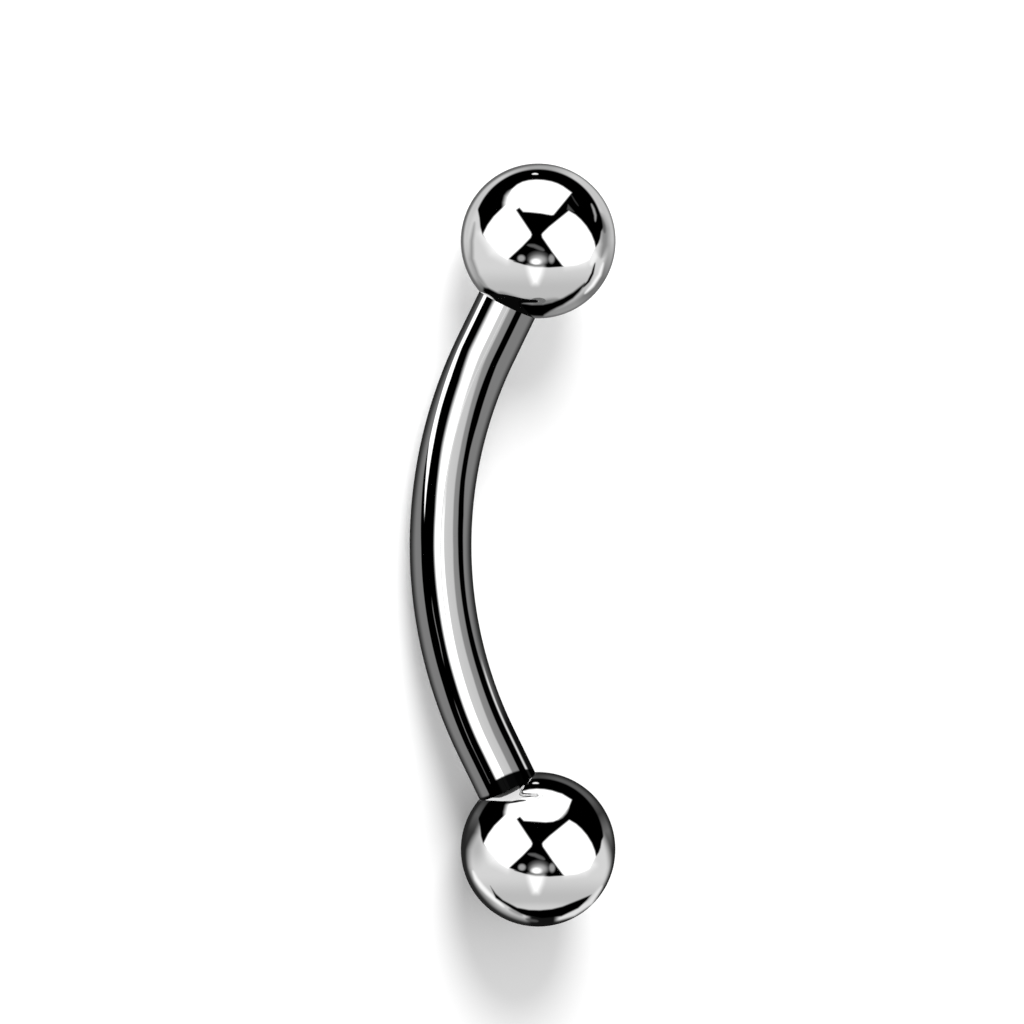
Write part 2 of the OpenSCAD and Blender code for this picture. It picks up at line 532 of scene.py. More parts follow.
def polished_steel(name, grain, base_roughness, painted_shade_at=None):
    """A mirror metal with polish marks stretched by the grain, and maybe a band of painted shade near
    a joint.
    """
    made = bpy.data.materials.new(name)
    made.use_nodes = True
    tree = made.node_tree
    shader = tree.nodes["Principled BSDF"]
    shader.inputs["Metallic"].default_value = 1.0
    lathe_place = put(tree, "ShaderNodeAttribute", attribute_name="lathe_place").outputs["Vector"]
    thread_cut = put(tree, "ShaderNodeAttribute", attribute_name="thread_cut").outputs["Fac"]
    marks = put(tree, "ShaderNodeGroup", node_tree=marks_tree)
    tree.links.new(lathe_place, marks.inputs["Place"])
    tree.links.new(thread_cut, marks.inputs["Cut"])
    marks.inputs["Grain"].default_value = grain
    marks.inputs["Base Roughness"].default_value = base_roughness
    tone = marks.outputs["Tone"]
    if painted_shade_at is not None:
        # Painted shade: the metal's tone darkens near the joint, standing in for the ball's dark side
        # mirrored in the bar.
        x, y, z = put(tree, "ShaderNodeSeparateXYZ", {0: lathe_place}).outputs
        from_joint = calc(tree, "ABSOLUTE", calc(tree, "SUBTRACT", z, painted_shade_at))
        rise = put(tree, "ShaderNodeMapRange", {
            "Value": x, "From Min": PAINTED_SHADE_RISE[0], "From Max": PAINTED_SHADE_RISE[1],
        }, interpolation_type="SMOOTHSTEP").outputs[0]
        front = calc(tree, "MULTIPLY", rise, calc(tree, "DIVIDE", y, -BAR_RADIUS, clamp=True))
        more_in_front = PAINTED_SHADE_IN_FRONT - PAINTED_SHADE_AT_SIDE
        length = calc(tree, "MULTIPLY_ADD", front, more_in_front, PAINTED_SHADE_AT_SIDE)
        painted_collar_shade = put(tree, "ShaderNodeMapRange", {
            "Value": calc(tree, "SUBTRACT", from_joint, length), "From Min": 0.0,
            "From Max": PAINTED_SHADE_FADE, "To Min": PAINTED_SHADE_TONE,
        }, interpolation_type="SMOOTHSTEP").outputs[0]
        tone = calc(tree, "MULTIPLY", tone, painted_collar_shade)
    steel = put(tree, "ShaderNodeMix", {
        "Factor": tone,
        6: (0.0, 0.0, 0.0, 1.0),
        7: (STEEL_REFLECTANCE, STEEL_REFLECTANCE, STEEL_REFLECTANCE, 1.0),
    }, data_type="RGBA").outputs[2]
    bump = put(tree, "ShaderNodeBump", {
        "Strength": 1.0, "Distance": HAIRLINE_RELIEF, "Height": marks.outputs["Height"],
    }).outputs[0]
    tree.links.new(steel, shader.inputs["Base Color"])
    tree.links.new(marks.outputs["Roughness"], shader.inputs["Roughness"])
    tree.links.new(bump, shader.inputs["Normal"])
    print(f"{name}: {len(tree.nodes)} nodes")
    return made


# The bar's material carries the collar of painted shade at its lower joint.
lower_joint = -(ball_middle + mouth)
bar_steel = polished_steel("bar_steel_lengthwise_polish_and_painted_shade", BAR_GRAIN, BAR_ROUGHNESS, lower_joint)
ball_steel = polished_steel("ball_steel_round_polish", BALL_GRAIN, BALL_ROUGHNESS)

# %% [markdown]
# ## The three pieces
#
# Each straight mesh gets the tree as a modifier. A modifier's input is set by the identifier of its
# socket, not by its name, so a small lookup comes first. The evaluated result is copied to a plain
# mesh and the modifier goes with the old object: what rides on the model is a finished mesh that
# sits at the origin, with its place in its points.

# %% Run the tree on each piece
def finished(name, straight_mesh, sizes):
    """The straight mesh, threaded, bent and laid down, as a new object with a plain mesh."""
    blank = bpy.data.objects.new(name + "_blank", straight_mesh)
    bpy.context.scene.collection.objects.link(blank)
    modifier = blank.modifiers.new("barbell_piece", "NODES")
    modifier.node_group = finish_tree
    sockets = {s.name: s.identifier for s in finish_tree.interface.items_tree if s.in_out == "INPUT"}
    for size, value in sizes.items():
        modifier[sockets[size]] = value
    depsgraph = bpy.context.evaluated_depsgraph_get()
    mesh = bpy.data.meshes.new_from_object(blank.evaluated_get(depsgraph), depsgraph=depsgraph)
    bpy.data.objects.remove(blank)
    piece = bpy.data.objects.new(name, mesh)
    piece.data.name = name
    bpy.context.scene.collection.objects.link(piece)
    print(f"{name}: {sum(len(f.vertices) - 2 for f in mesh.polygons)} triangles")
    return piece


post_thread = {
    "Crest Radius": CREST_RADIUS,
    "Root Radius": ROOT_RADIUS,
    "Root Share": 0.05,
    "Thread Start": ball_middle + thread_start,
    "Thread End": ball_middle + thread_end,
    "Finish": bar_steel,
}
hole_thread = {
    "Crest Radius": hole_radius,
    "Root Radius": ROOT_RADIUS + 2.25 * FIT_GAP,
    "Root Share": 0.25,
    "Thread Start": ball_middle + seat_floor,
    "Thread End": ball_middle + hole_end,
    "Finish": ball_steel,
}
bar = finished("polished_bar", straight_bar, post_thread)
upper_ball = finished("upper_polished_ball", balls["upper"], hole_thread)
lower_ball = finished("lower_polished_ball", balls["lower"], hole_thread)

# %% [markdown]
# Each piece is first measured against its solid; they should agree to within a hair. Then the solid
# is hidden, and the piece is hung on the body that carries it.

# %% Put each piece in its solid's place
def box_of(piece):
    """Lowest and highest corner of a finished piece."""
    corners = np.array([point.co for point in piece.data.vertices])
    return Vector(corners.min(0)), Vector(corners.max(0))


for piece, node, body, slot in (
    (bar, "curved_bar", "bar", "bar_steel"),
    (upper_ball, "upper_ball", "upper_ball", "ball_steel"),
    (lower_ball, "lower_ball", "lower_ball", "ball_steel"),
):
    low, high = box_of(piece)
    solid_low, solid_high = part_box(node)
    off = max((low - solid_low).length, (high - solid_high).length)
    print(f"{piece.name}: corners within {1000 * off:.4f} mm of the solid's")
    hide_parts(node)
    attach(piece, body)

# %% [markdown]
# ## Camera
#
# The photograph looks square at the flat side of the bend, and leans some six degrees towards the
# upper ball. The barbell lies tilted on the floor, so the camera is turned with it: its right is
# the way that the bulge points away from, and its up runs from the lower ball to the upper one. The
# two balls are the same size in the picture, so it was taken from far away. The camera stands
# two thirds of a metre off, with a very long lens, so the whole bar is seen from one direction.

# %% Set the camera over the flat of the bend
LENS = 1200.0
SENSOR = 36.0
FRAME_WIDTH = 19.85 * MM
LEAN = math.radians(6.5)
AIM_RIGHT = -0.507 * MM
AIM_UP = 0.648 * MM

in_plane = Vector((math.cos(lie_tilt), 0, math.sin(lie_tilt)))
plane_normal = Vector((-math.sin(lie_tilt), 0, math.cos(lie_tilt)))
lengthwise = Vector((0, 1, 0))
view_back = plane_normal * math.cos(LEAN) + lengthwise * math.sin(LEAN)
view_up = lengthwise * math.cos(LEAN) - plane_normal * math.sin(LEAN)
view_right = in_plane

camera_data = bpy.data.cameras.new("photo_camera")
camera_data.lens = LENS
camera_data.sensor_width = SENSOR
camera = bpy.data.objects.new("photo_camera", camera_data)
bpy.context.scene.collection.objects.link(camera)
bpy.context.scene.camera = camera
balls_midpoint = Vector((middle_x, 0, BALL_RADIUS))
aim = balls_midpoint + view_right * AIM_RIGHT + view_up * AIM_UP
distance = FRAME_WIDTH / 2 / (SENSOR / 2 / LENS)
turned_frame = Matrix((view_right, view_up, view_back)).transposed().to_4x4()
camera.matrix_world = Matrix.Translation(aim + view_back * distance) @ turned_frame
camera_data.clip_start = distance / 10
camera_data.clip_end = distance * 10
print(f"camera {1000 * distance:.0f} mm away, {math.degrees(math.asin(view_back.z)):.1f} deg up")

# %% [markdown]
# ## Floor and light
#
# The photograph's background is pure white. A large white plane lit by an even white sky gives the
# same ground without a horizon, and the barbell darkens it only where it sits. One soft lamp beyond
# the upper end draws that shadow towards the lower end. Neither the floor nor the sky shows in the
# metal: what it mirrors is made in the next step.

# %% Floor, sky and lamp
bpy.context.scene.view_settings.view_transform = "Standard"

FLOOR_HALF = 2.0
SKY_LIGHT = 0.8
FLOOR_TONE = 0.9
LAMP_PLACE = Vector((-0.03, 0.20, 0.16))
LAMP_SIZE = 0.14
LAMP_WATTS = 0.66

floor_mesh = bpy.data.meshes.new("floor")
floor_corners = [(-1, -1, 0), (1, -1, 0), (1, 1, 0), (-1, 1, 0)]
floor_mesh.from_pydata([Vector(c) * FLOOR_HALF for c in floor_corners], [], [(0, 1, 2, 3)])
floor = bpy.data.objects.new("floor", floor_mesh)
bpy.context.scene.collection.objects.link(floor)
floor_white = bpy.data.materials.new("floor_white")
floor_white.use_nodes = True
floor_shader = floor_white.node_tree.nodes["Principled BSDF"]
floor_shader.inputs["Base Color"].default_value = (FLOOR_TONE, FLOOR_TONE, FLOOR_TONE, 1)
floor_shader.inputs["Roughness"].default_value = 0.9
floor_shader.inputs["Specular IOR Level"].default_value = 0.0
floor_mesh.materials.append(floor_white)
floor.visible_glossy = False

sky = bpy.data.worlds.new("studio_sky")
sky.use_nodes = True
sky.node_tree.nodes["Background"].inputs["Color"].default_value = (1, 1, 1, 1)
sky.node_tree.nodes["Background"].inputs["Strength"].default_value = SKY_LIGHT
bpy.context.scene.world = sky
sky.cycles_visibility.glossy = False

lamp_data = bpy.data.lights.new("soft_lamp", "AREA")
lamp_data.shape = "DISK"
lamp_data.size = LAMP_SIZE
lamp_data.energy = LAMP_WATTS
lamp = bpy.data.objects.new("soft_lamp", lamp_data)
bpy.context.scene.collection.objects.link(lamp)
lamp.location = LAMP_PLACE
lamp.rotation_euler = (LAMP_PLACE - balls_midpoint).to_track_quat("Z", "Y").to_euler()
lamp.visible_glossy = False
print(f"floor {2 * FLOOR_HALF:.0f} m wide, lamp {LAMP_SIZE:.2f} m across at {LAMP_WATTS:.2f} W")

# %% [markdown]
# ## What the metal mirrors
#
# A chrome ball shows the whole studio. In the photograph that is a black tent with a few white
# panels, over a pale table. Such a studio could be built from lamps and cards, but a lamp's place
# is hard to guess, while its mirror image is easy to see. So the work goes backwards: the tent is
# drawn as its image on the ball, on a round chart whose rim is the ball's outline, and each point
# of the chart is then thrown out in the direction that a mirror sends it.
#
# A chart's unit is the ball's radius, with x to the right and y up. The chart is a fine disc of
# faces, and each point holds one number, the light that comes from there.

# %% Chart of a mirror ball
CHART_CELLS = 520
TENT_RADIUS = 4.0

steps = np.linspace(-1, 1, CHART_CELLS + 1)
square_x, square_y = (axis.ravel() for axis in np.meshgrid(steps, steps, indexing="xy"))
chart_x = square_x * np.sqrt(1 - square_y**2 / 2)
chart_y = square_y * np.sqrt(1 - square_x**2 / 2)
chart_radius = np.minimum(np.hypot(chart_x, chart_y), 1)
chart_height = np.sqrt(1 - chart_radius**2)
print(f"chart: {len(chart_x)} points")


def shade(grey):
    """Light that the steel shows as this grey of the picture, from 0 to 255."""
    value = grey / 255
    linear = value / 12.92 if value <= 0.04045 else ((value + 0.055) / 1.055) ** 2.4
    return linear / STEEL_REFLECTANCE


WHITE = 1.6
BLACK = 0.0


# %% [markdown]
# A few small functions draw on a chart. `depth_inside` says how far each point lies inside an
# outline, and `lay` puts one panel over what is there, with a hard or a soft edge. A `streak` is a
# line of light that thins out at both ends, and `round_the_rim` gives a grey for each direction
# round the chart.

# %% Draw panels on a chart
def smooth(value):
    """0 to 1 with a soft start and end."""
    value = np.clip(value, 0, 1)
    return value * value * (3 - 2 * value)


def lay(chart, cover, level):
    """Puts a panel over what the chart holds, where cover is above 0."""
    chart += (level - chart) * cover


def depth_inside(corners, x, y):
    """How far each point is inside a closed outline; outside, the distance is negative."""
    nearest = np.full(x.shape, 9.0)
    within = np.zeros(x.shape, bool)
    for (ax, ay), (bx, by) in zip(corners, corners[1:] + corners[:1]):
        ex, ey = bx - ax, by - ay
        along = np.clip(((x - ax) * ex + (y - ay) * ey) / (ex * ex + ey * ey), 0, 1)
        nearest = np.minimum(nearest, np.hypot(x - ax - along * ex, y - ay - along * ey))
        if ey:
            within ^= ((ay > y) != (by > y)) & (x < ax + ex * (y - ay) / ey)
    return np.where(within, nearest, -nearest)


def panel(x, y, corners, soft=0.012):
    """Cover of a panel with that outline. Its edge is soft over that distance each way."""
    return smooth(0.5 + depth_inside(corners, x, y) / (2 * soft))


def spot(x, y, middle, size, soft=0.02):
    """Cover of a round or oval spot."""
    reach = np.hypot((x - middle[0]) / size[0], (y - middle[1]) / size[1])
    return smooth(0.5 + (1 - reach) * min(size) / (2 * soft))


def streak(x, y, points, width, soft=0.02):
    """Cover of a line through some points, as wide as that in its middle."""
    nearest, share = np.full(x.shape, 9.0), np.zeros(x.shape)
    for i, ((ax, ay), (bx, by)) in enumerate(zip(points, points[1:])):
        ex, ey = bx - ax, by - ay
        along = np.clip(((x - ax) * ex + (y - ay) * ey) / (ex * ex + ey * ey), 0, 1)
        away = np.hypot(x - ax - along * ex, y - ay - along * ey)
        share = np.where(away < nearest, (i + along) / (len(points) - 1), share)
        nearest = np.minimum(nearest, away)
    half_width = width / 2 * np.sqrt(1 - (2 * share - 1) ** 2)
    return smooth(0.5 + (half_width - nearest) / (2 * soft))


def round_the_rim(x, y, greys):
    """Light by direction round the chart. greys maps an angle to a grey; 0 is right, 90 is up."""
    angles = sorted(greys)
    turn = np.degrees(np.arctan2(y, x)) % 360
    levels = [shade(greys[a]) for a in angles]
    return np.interp(turn, angles, levels, period=360)


# %% [markdown]
# Both balls mirror the same black tent. It has a wide softbox above, which joins a tall panel on
# the left, and a second tall panel on the right. Where the panels nearly meet, the black between
# them makes the small hourglass in the middle of the ball. Below it is the edge of the pale table,
# with the lens's own bright spot on it. The panels' lower edges melt into the table, so a soft
# glow goes down before the tent does.

# %% Tent that both balls mirror
HORIZON = [
    (-0.785, 0.42), (-0.76, 0.30), (-0.748, 0.18), (-0.72, 0.083), (-0.538, -0.155),
    (-0.382, -0.232), (-0.192, -0.304), (-0.044, -0.33), (0.137, -0.345), (0.326, -0.328),
    (0.664, -0.246), (0.738, -0.09), (0.778, -0.03), (0.80, 0.03), (0.815, 0.12), (0.86, 0.22),
]
LEFT_PANEL = [
    (-0.10, 0.115), (-0.087, 0.08), (-0.10, 0.045), (-0.21, -0.07), (-0.395, -0.24),
    (-0.538, -0.155), (-0.66, 0.0), (-0.711, 0.084), (-0.65, 0.205), (-0.57, 0.315),
    (-0.44, 0.443), (-0.36, 0.50), (-0.29, 0.40),
]
RIGHT_PANEL = [
    (0.06, 0.10), (0.049, 0.08), (0.056, 0.045), (0.19, -0.15), (0.325, -0.33),
    (0.5, -0.31), (0.664, -0.246), (0.738, -0.09), (0.722, -0.01), (0.682, 0.09),
    (0.62, 0.19), (0.549, 0.273), (0.48, 0.335), (0.395, 0.385), (0.14, 0.178),
]
SOFTBOX = [
    (-0.43, 0.445), (-0.43, 0.49), (-0.41, 0.57), (-0.34, 0.665), (-0.27, 0.725),
    (-0.20, 0.76), (-0.12, 0.78), (-0.028, 0.788), (0.07, 0.783), (0.17, 0.765),
    (0.25, 0.738),
]
SOFTBOX_FOOT = [(-0.105, 0.373), (-0.192, 0.378), (-0.242, 0.432), (-0.29, 0.40), (-0.36, 0.43)]
STRAIGHT_SIDE = [
    (0.318, 0.703), (0.43, 0.622), (0.31, 0.475), (0.196, 0.338), (0.17, 0.334), (0.038, 0.358),
]
ROUND_SIDE = [
    (0.30, 0.724), (0.424, 0.648),
    (0.385, 0.548), (0.342, 0.478), (0.298, 0.43), (0.248, 0.393), (0.185, 0.368), (0.09, 0.36),
]


def table_and_glow(x, y):
    """Pale table below the tent, lighter towards the tent's panels."""
    chart = shade(188) + (shade(212) - shade(188)) * smooth((y + 0.62) / 0.3)
    left_glow = [(-0.74, 0.1), (-0.6, -0.16), (-0.40, -0.26), (-0.3, -0.1), (-0.5, 0.2)]
    right_glow = [(0.33, -0.2), (0.36, -0.33), (0.6, -0.30), (0.72, -0.2), (0.6, 0.0)]
    for glow in (left_glow, right_glow):
        lay(chart, panel(x, y, glow, 0.09), shade(255))
    return chart


def tent_cover(x, y):
    """Where the black tent shows, above the table's edge."""
    outline = HORIZON + [(0.95, 0.3), (0.9, 0.95), (-0.9, 0.95)]
    return panel(x, y, outline, 0.01) * spot(x, y, (0.0, 0.10), (0.842, 0.826), 0.012)


def lay_panels(chart, x, y, softbox_side, softbox_edge):
    """White panels of the tent, and the small lights in the hourglass's foot."""
    lay(chart, panel(x, y, SOFTBOX + softbox_side + SOFTBOX_FOOT, softbox_edge), WHITE)
    lay(chart, panel(x, y, LEFT_PANEL, 0.014), WHITE)
    lay(chart, panel(x, y, RIGHT_PANEL, 0.014), WHITE)
    swoosh = [(-0.14, -0.052), (-0.05, -0.065), (0.03, -0.1), (0.08, -0.125)]
    lay(chart, streak(x, y, swoosh, 0.045, 0.015), shade(90))
    lay(chart, spot(x, y, (0.0, -0.225), (0.11, 0.075), 0.04), shade(105))
    lay(chart, spot(x, y, (0.0, -0.25), (0.085, 0.05), 0.04), shade(190))
    lay(chart, spot(x, y, (-0.03, -0.27), (0.058, 0.036), 0.025), WHITE)
    lay(chart, spot(x, y, (-0.217, -0.224), (0.045, 0.04), 0.018), shade(160))
    lay(chart, spot(x, y, (0.172, -0.232), (0.036, 0.052), 0.018), shade(150))
    below_lights = streak(x, y, [(-0.32, -0.262), (-0.04, -0.322), (0.33, -0.326)], 0.03, 0.01)
    lay(chart, below_lights, BLACK)
    lens_spot = [
        (-0.12, -0.345), (0.05, -0.352), (0.03, -0.43), (-0.015, -0.54), (-0.06, -0.54),
        (-0.10, -0.43),
    ]
    lay(chart, panel(x, y, lens_spot, 0.075), WHITE)
    lay(chart, streak(x, y, [(-0.08, 0.862), (-0.04, 0.866), (0.0, 0.862)], 0.016, 0.009), WHITE)


# %% [markdown]
# The balls differ at the rim, where a mirror ball shows what lies under and behind it. The upper
# one sees a pale table all round, with a black band low down where it mirrors the bar, and a bright
# edge beside it.

# %% The upper ball's tent
def upper_ball_tent(x, y):
    """Light round the upper ball."""
    chart = table_and_glow(x, y)
    reach = np.hypot(x, y)
    rim = round_the_rim(x, y, {
        0: 188, 45: 196, 60: 203, 80: 166, 95: 164, 120: 202, 150: 195, 180: 198, 210: 165,
        225: 70, 285: 142, 300: 143, 315: 112, 330: 115, 350: 165,
    })
    lay(chart, smooth((reach - 0.86) / 0.07), rim)
    inner_ring = [(0.80, 0.36), (0.86, 0.15), (0.86, -0.05), (0.81, -0.22)]
    lay(chart, streak(x, y, inner_ring, 0.11, 0.045), shade(138))
    lay(chart, streak(x, y, [(0.80, 0.32), (0.84, 0.2), (0.86, 0.1)], 0.05, 0.02), shade(95))
    table_line = [(-0.82, 0.24), (-0.86, 0.0), (-0.86, -0.23), (-0.78, -0.45), (-0.66, -0.61)]
    lay(chart, streak(x, y, table_line, 0.05, 0.03), shade(148))
    bright_edge = [(0.84, -0.28), (0.79, -0.44), (0.70, -0.575), (0.60, -0.68)]
    lay(chart, streak(x, y, bright_edge, 0.045, 0.022), shade(250))
    lay(chart, streak(x, y, [(0.70, -0.1), (0.72, -0.2), (0.68, -0.32)], 0.07, 0.03), shade(245))
    band = [
        (-0.70, -0.60), (-0.637, -0.61), (-0.50, -0.68), (-0.36, -0.75), (-0.22, -0.80),
        (-0.08, -0.82), (0.06, -0.818), (0.18, -0.79), (0.32, -0.735), (0.45, -0.66),
        (0.60, -0.54), (0.615, -0.553), (0.53, -0.665), (0.45, -0.745), (0.318, -0.83),
        (0.24, -0.865), (0.16, -0.905), (0.08, -0.955), (0.02, -1.05), (-0.8, -0.9),
    ]
    shadow_edge = [(-0.5, -0.66), (-0.22, -0.78), (0.04, -0.80), (0.26, -0.75)]
    lay(chart, 0.6 * streak(x, y, shadow_edge, 0.07, 0.035), BLACK)
    lay(chart, panel(x, y, band, 0.018), BLACK)
    thin_arc = [(0.58, -0.6), (0.65, -0.52), (0.70, -0.42), (0.735, -0.28)]
    lay(chart, streak(x, y, thin_arc, 0.035, 0.01), BLACK)
    lay(chart, tent_cover(x, y), BLACK)
    lens_flare = [(0.685, 0.48), (0.715, 0.41), (0.738, 0.33), (0.738, 0.25)]
    lay(chart, streak(x, y, lens_flare, 0.026, 0.014), shade(165))
    lay(chart, streak(x, y, [(0.43, 0.59), (0.47, 0.52), (0.52, 0.45)], 0.012, 0.01), shade(60))
    lay(chart, panel(x, y, [(0.385, 0.47), (0.372, 0.405), (0.465, 0.375)], 0.012), shade(75))
    left_end = smooth((-0.33 - x) / 0.09)
    lay_panels(chart, x, y, STRAIGHT_SIDE, 0.013 + 0.035 * left_end)
    lay(chart, smooth((reach - 0.945 - 0.02 * smooth(x + 0.5)) / 0.035), shade(100))
    return chart


print(f"softbox with {len(SOFTBOX + STRAIGHT_SIDE + SOFTBOX_FOOT)} corners over the upper ball")

# %% [markdown]
# The lower ball stands in a darker corner. Its rim is nearly black, with bright slivers low on both
# sides, and the black band under the table is narrower. Its softbox has a rounder side, and all that
# the two balls share sits a hair lower and further to the right.

# %% The lower ball's tent
LEFT_SLIVER = [
    (-0.846, -0.275), (-0.80, -0.385), (-0.73, -0.48), (-0.65, -0.565), (-0.55, -0.655),
    (-0.44, -0.745),
]


def lower_ball_tent(x, y):
    """Light round the lower ball."""
    chart = table_and_glow(x, y)
    reach = np.hypot(x, y)
    turn = np.degrees(np.arctan2(y, x)) % 360
    lay(chart, smooth((-0.66 - y) / 0.1), shade(206))
    lay(chart, spot(x, y, (-0.80, 0.04), (0.09, 0.19), 0.08), shade(182))
    rim_start = np.interp(
        turn,
        (0, 20, 90, 130, 150, 165, 180, 195, 250, 285, 315, 345),
        (0.84, 0.75, 0.75, 0.72, 0.73, 0.755, 0.83, 0.86, 0.86, 0.88, 0.93, 0.90),
        period=360,
    )
    rim = round_the_rim(x, y, {
        0: 60, 15: 105, 30: 58, 45: 88, 75: 88, 90: 62, 110: 90, 135: 50, 150: 90, 165: 52,
        180: 38, 250: 30, 270: 18, 290: 40, 315: 120, 330: 150, 345: 70,
    })
    lay(chart, smooth((reach - rim_start) / 0.12), rim)
    lay(chart, smooth((reach - 0.94 + 0.02 * smooth(-x)) / 0.05), shade(36))
    slivers = (
        (LEFT_SLIVER, 0.055, 248),
        ([(-0.38, -0.77), (-0.29, -0.815), (-0.2, -0.86)], 0.04, 150),
        ([(0.20, -0.92), (0.46, -0.83), (0.675, -0.685), (0.83, -0.47)], 0.065, 222),
    )
    for points, width, grey in slivers:
        lay(chart, streak(x, y, points, width, 0.022), shade(grey))
    band = [
        (-0.62, -0.47), (-0.545, -0.575), (-0.455, -0.655), (-0.27, -0.753), (-0.118, -0.782),
        (0.02, -0.786), (0.175, -0.772), (0.312, -0.738), (0.54, -0.648), (0.69, -0.585),
        (0.63, -0.66), (0.52, -0.762), (0.30, -0.868), (0.055, -0.89), (-0.15, -0.86),
        (-0.22, -0.835), (-0.33, -0.775), (-0.55, -0.63),
    ]
    under_band = [(-0.13, -0.83), (0.25, -0.83), (0.24, -0.93), (0.18, -1.1), (-0.12, -1.1)]
    lay(chart, panel(x, y, under_band, 0.05), shade(20))
    lay(chart, streak(x, y, [(-0.16, -0.90), (-0.08, -0.92), (0.0, -0.93)], 0.03, 0.02), shade(80))
    lay(chart, panel(x, y, band, 0.012), BLACK)
    x, y = x - 0.008, y + 0.008
    lay(chart, tent_cover(x, y), BLACK)
    soft_end = np.maximum(
        smooth((-0.33 - x) / 0.09), 0.6 * smooth((x - 0.22) / 0.1) * smooth((0.58 - y) / 0.1)
    )
    lay_panels(chart, x, y, ROUND_SIDE, 0.013 + 0.03 * soft_end)
    under_joint = [(-0.44, 0.603), (-0.335, 0.62), (-0.257, 0.634), (-0.16, 0.642)]
    lay(chart, streak(x, y, under_joint, 0.034, 0.01), BLACK)
    return chart


print(f"softbox with {len(SOFTBOX + ROUND_SIDE + SOFTBOX_FOOT)} corners over the lower ball")

# %% [markdown]
# The bar mirrors the studio as long stripes. Across the bar, a place is told by its share of the
# half width, from -1 at the outer side of the bend to 1 at the inner side. Along the bar it is told
# by the angle round the bend. Each stripe's near edge is given at ten stations, from the lower end
# to the upper, and drifts from one to the next, because the bend turns the mirror as it goes.
#
# The black stripe on the outer side isn't plain: a white sliver opens in it towards the upper end.

# %% Stripes of the bar
STATIONS = (-25, -17, -8, 0, 4.5, 9, 13, 17, 21, 25)
STRIPES = (
    # near edge at each station, grey at the near side, grey at the far side, softness
    ((-1.1,) * 10, 123, 123, 0.02),
    ((-0.61, -0.585, -0.61, -0.63, -0.675, -0.73, -0.76, -0.78, -0.83, -0.86), 0, 0, 0.012),
    ((-0.18, -0.155, -0.16, -0.197, -0.205, -0.25, -0.305, -0.335, -0.37, -0.465), 255, 255, 0.05),
    ((0.10, 0.125, 0.145, 0.115, 0.09, 0.025, -0.01, -0.05, -0.09, -0.145), 204, 195, 0.014),
    ((0.38, 0.425, 0.40, 0.41, 0.37, 0.31, 0.275, 0.23, 0.165, 0.08), 136, 130, 0.03),
    ((0.605, 0.61, 0.59, 0.565, 0.53, 0.465, 0.43, 0.375, 0.325, 0.295), 0, 0, 0.018),
    ((0.79, 0.785, 0.74, 0.73, 0.705, 0.625, 0.59, 0.595, 0.555, 0.50), 123, 123, 0.018),
)


def lay_slivers(chart, share, bend):
    """A white sliver that opens in the black towards the upper end, and two hairlines of light."""
    places = (3.5, 4.5, 9, 13, 17, 21, 25)
    outer = np.interp(bend, places, (-0.55, -0.57, -0.655, -0.75, -0.78, -0.82, -0.85))
    inner = np.interp(bend, places, (-0.55, -0.552, -0.575, -0.61, -0.665, -0.69, -0.75))
    depth = np.minimum(share - outer, inner - share)
    lay(chart, smooth(0.5 + depth / 0.02) * smooth((bend - 3) / 1.5), WHITE)
    middle = np.interp(bend, (-25, -20, -12, -8), (-0.42, -0.395, -0.345, -0.375))
    for first, last in ((-15, -6), (-27, -19)):
        along = smooth((bend - first) / 2) * smooth((last - bend) / 2)
        lay(chart, along * smooth(1 - np.abs(share - middle) / 0.02), shade(125))


# %% [markdown]
# The camera isn't infinitely far away, so it sees the bar's ends at a slightly different angle, and
# a short loop takes that nearness out of the place along the bend. The crown of the bar mirrors one
# single spot all the way along, so that spot keeps to one tone. Past the bend's two ends the
# photograph shows nothing, and there the black stripes get a light line, so that the bar looks like
# steel from its ends too.

# %% The bar's tent
def bar_tent(x, y):
    """Light round the bar, from stripes that change place along the bend."""
    height = np.sqrt(np.clip(1 - x**2 - y**2, 0, 1))
    mirror = np.outer(x, view_right) + np.outer(y, view_up) + np.outer(height, view_back)
    across, along = mirror @ np.array(in_plane), mirror @ np.array(lengthwise)
    across = np.where(np.abs(across) < 1e-6, 1e-6, across)
    bend = np.arctan(-along / across)
    for _ in range(8):
        nearness = BEND_RADIUS * np.sin(np.clip(bend, -half_bend, half_bend)) / (2 * distance)
        bend = np.arctan((nearness - along) / across)
    share = np.sign(across) * np.hypot(across, along - nearness)
    bend = np.degrees(bend)
    chart = np.zeros(x.shape)
    edges = [np.interp(bend, STATIONS, edge) for edge, *rest in STRIPES] + [np.ones(x.shape)]
    for i, (_, near, far, soft) in enumerate(STRIPES):
        gone = np.clip((share - edges[i]) / (edges[i + 1] - edges[i]), 0, 1)
        level = WHITE if near == 255 else shade(near) * (1 - gone) + shade(far) * gone
        widened = soft * (1 + 0.8 * smooth(bend / 25)) if near == 255 else soft
        lay(chart, smooth(0.5 + (share - edges[i]) / (2 * widened)), level)
        if i == 1:
            lay_slivers(chart, share, bend)
    lay(chart, smooth((np.abs(share) - 0.78) / 0.19), shade(42))
    lay(chart, smooth((0.008 - np.hypot(across, along)) / 0.003), shade(204))
    lay(chart, smooth((share - 0.855) / 0.03) * smooth((-19 - bend) / 6), shade(12))
    inner_line = smooth(1.3 - np.abs(share - 0.825) / 0.03) * smooth((-14 - bend) / 5)
    lay(chart, inner_line, shade(215))
    past_ends = smooth((np.abs(bend) - 30) / 8)
    for middle, half_width in ((-0.40, 0.13), (0.70, 0.05)):
        lay(chart, past_ends * smooth((half_width - np.abs(share - middle)) / 0.03), shade(235))
    return chart


print(f"{len(STRIPES)} stripes at {len(STATIONS)} stations along the bend")

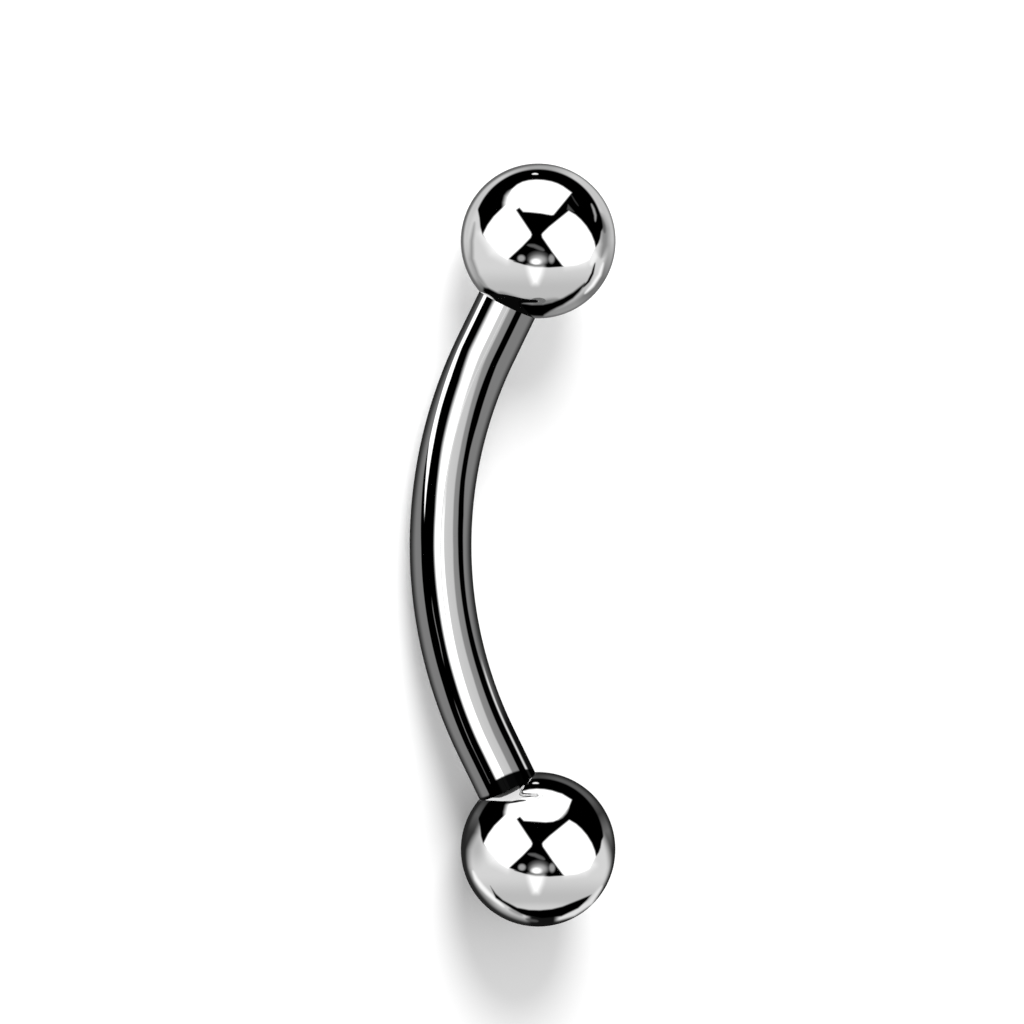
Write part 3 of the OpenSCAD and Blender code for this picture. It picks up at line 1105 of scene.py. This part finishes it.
# %% [markdown]
# Polished pieces mirror each other too. A mirror image in a mirror image is tiny and would only
# sparkle, so light that comes by way of a second piece is one calm tone. The bar's is dark, but
# light where the bar throws it sideways and up: that is the light wedge which the lower ball shows
# beside the joint. By way of three pieces, the light is one tone everywhere. A ray's depth, from the
# Light Path node, says how many pieces it came by.
#
# The glow is see-through, and no light is sampled from it, so only a mirror ray that runs into it
# sees it.

# %% Glow of a tent
def tent_glow(name, third_time):
    """See-through material that shows the light which the tent's points hold."""
    glow = bpy.data.materials.new(name)
    glow.use_nodes = True
    tree = glow.node_tree
    tree.nodes.clear()
    drawn = put(tree, "ShaderNodeAttribute", attribute_name="light").outputs["Fac"]
    calm = put(tree, "ShaderNodeAttribute", attribute_name="second_light").outputs["Fac"]
    depth = put(tree, "ShaderNodeLightPath").outputs["Ray Depth"]
    level = put(tree, "ShaderNodeMix", {
        0: calc(tree, "GREATER_THAN", depth, 1.5), 2: drawn, 3: calm,
    }, data_type="FLOAT").outputs[0]
    level = put(tree, "ShaderNodeMix", {
        0: calc(tree, "GREATER_THAN", depth, 2.5), 2: level, 3: shade(third_time),
    }, data_type="FLOAT").outputs[0]
    emission = put(tree, "ShaderNodeEmission", {"Strength": level}).outputs[0]
    clear = put(tree, "ShaderNodeBsdfTransparent").outputs[0]
    both = put(tree, "ShaderNodeAddShader", {0: emission, 1: clear}).outputs[0]
    put(tree, "ShaderNodeOutputMaterial", {"Surface": both})
    glow.cycles.emission_sampling = "NONE"
    return glow


def wedge_by_the_joint(thrown):
    """Where the bar throws light sideways and up, but not far down or straight up to the right."""
    straight_up = smooth((thrown[:, 1] - 0.80) / 0.06) * smooth((thrown[:, 0] + 0.12) / 0.10)
    return smooth((thrown[:, 1] + 0.35) / 0.12) * (1 - straight_up)


# %% [markdown]
# Each tent is a grid of faces, as many as the chart has cells, bent round its piece like a sky. Its
# points are the directions in which a mirror ball in the piece's place throws the camera's rays.
#
# A tent lights only the piece it was drawn for. Blender's light linking does that: the tent's
# collection of receivers holds one piece. Mirror rays alone see the tent, so it throws no light on
# the floor and doesn't show in the picture.

# %% Hang a tent round each piece
def hang_tent(name, piece, paint, again, wedge, third_time):
    """Throws a chart out to the directions in which the piece mirrors it for the camera."""
    low, high = box_of(piece)
    middle = (low + high) / 2
    back = np.array((camera.matrix_world.translation - middle).normalized())
    right = np.array(view_right)
    right = right - back * (right @ back)
    right /= np.linalg.norm(right)
    up = np.cross(back, right)
    half_vector = np.outer(chart_x, right) + np.outer(chart_y, up) + np.outer(chart_height, back)
    thrown = 2 * chart_height[:, None] * half_vector - back
    bpy.ops.mesh.primitive_grid_add(x_subdivisions=CHART_CELLS, y_subdivisions=CHART_CELLS)
    tent = bpy.context.object
    tent.name = name
    mesh = tent.data
    mesh.vertices.foreach_set("co", (np.array(middle) + thrown * TENT_RADIUS).ravel())
    drawn = paint(chart_x, chart_y)
    calm = shade(again) + (shade(wedge) - shade(again)) * wedge_by_the_joint(thrown)
    for attribute, light in (("light", drawn), ("second_light", calm / STEEL_REFLECTANCE)):
        held = mesh.attributes.new(attribute, "FLOAT", "POINT")
        held.data.foreach_set("value", light.astype(np.float32))
    mesh.update()
    mesh.materials.append(tent_glow(name, third_time))
    for ray in ("camera", "diffuse", "transmission", "volume_scatter", "shadow"):
        setattr(tent, "visible_" + ray, False)
    receivers = bpy.data.collections.new(name + "_receivers")
    receivers.objects.link(piece)
    tent.light_linking.receiver_collection = receivers
    print(f"{name}: {len(mesh.polygons)} faces round {piece.name}")


hang_tent("bar_light_tent", bar, bar_tent, again=8, wedge=218, third_time=8)
hang_tent("upper_ball_light_tent", upper_ball, upper_ball_tent, again=255, wedge=255, third_time=255)
hang_tent("lower_ball_light_tent", lower_ball, lower_ball_tent, again=110, wedge=110, third_time=8)
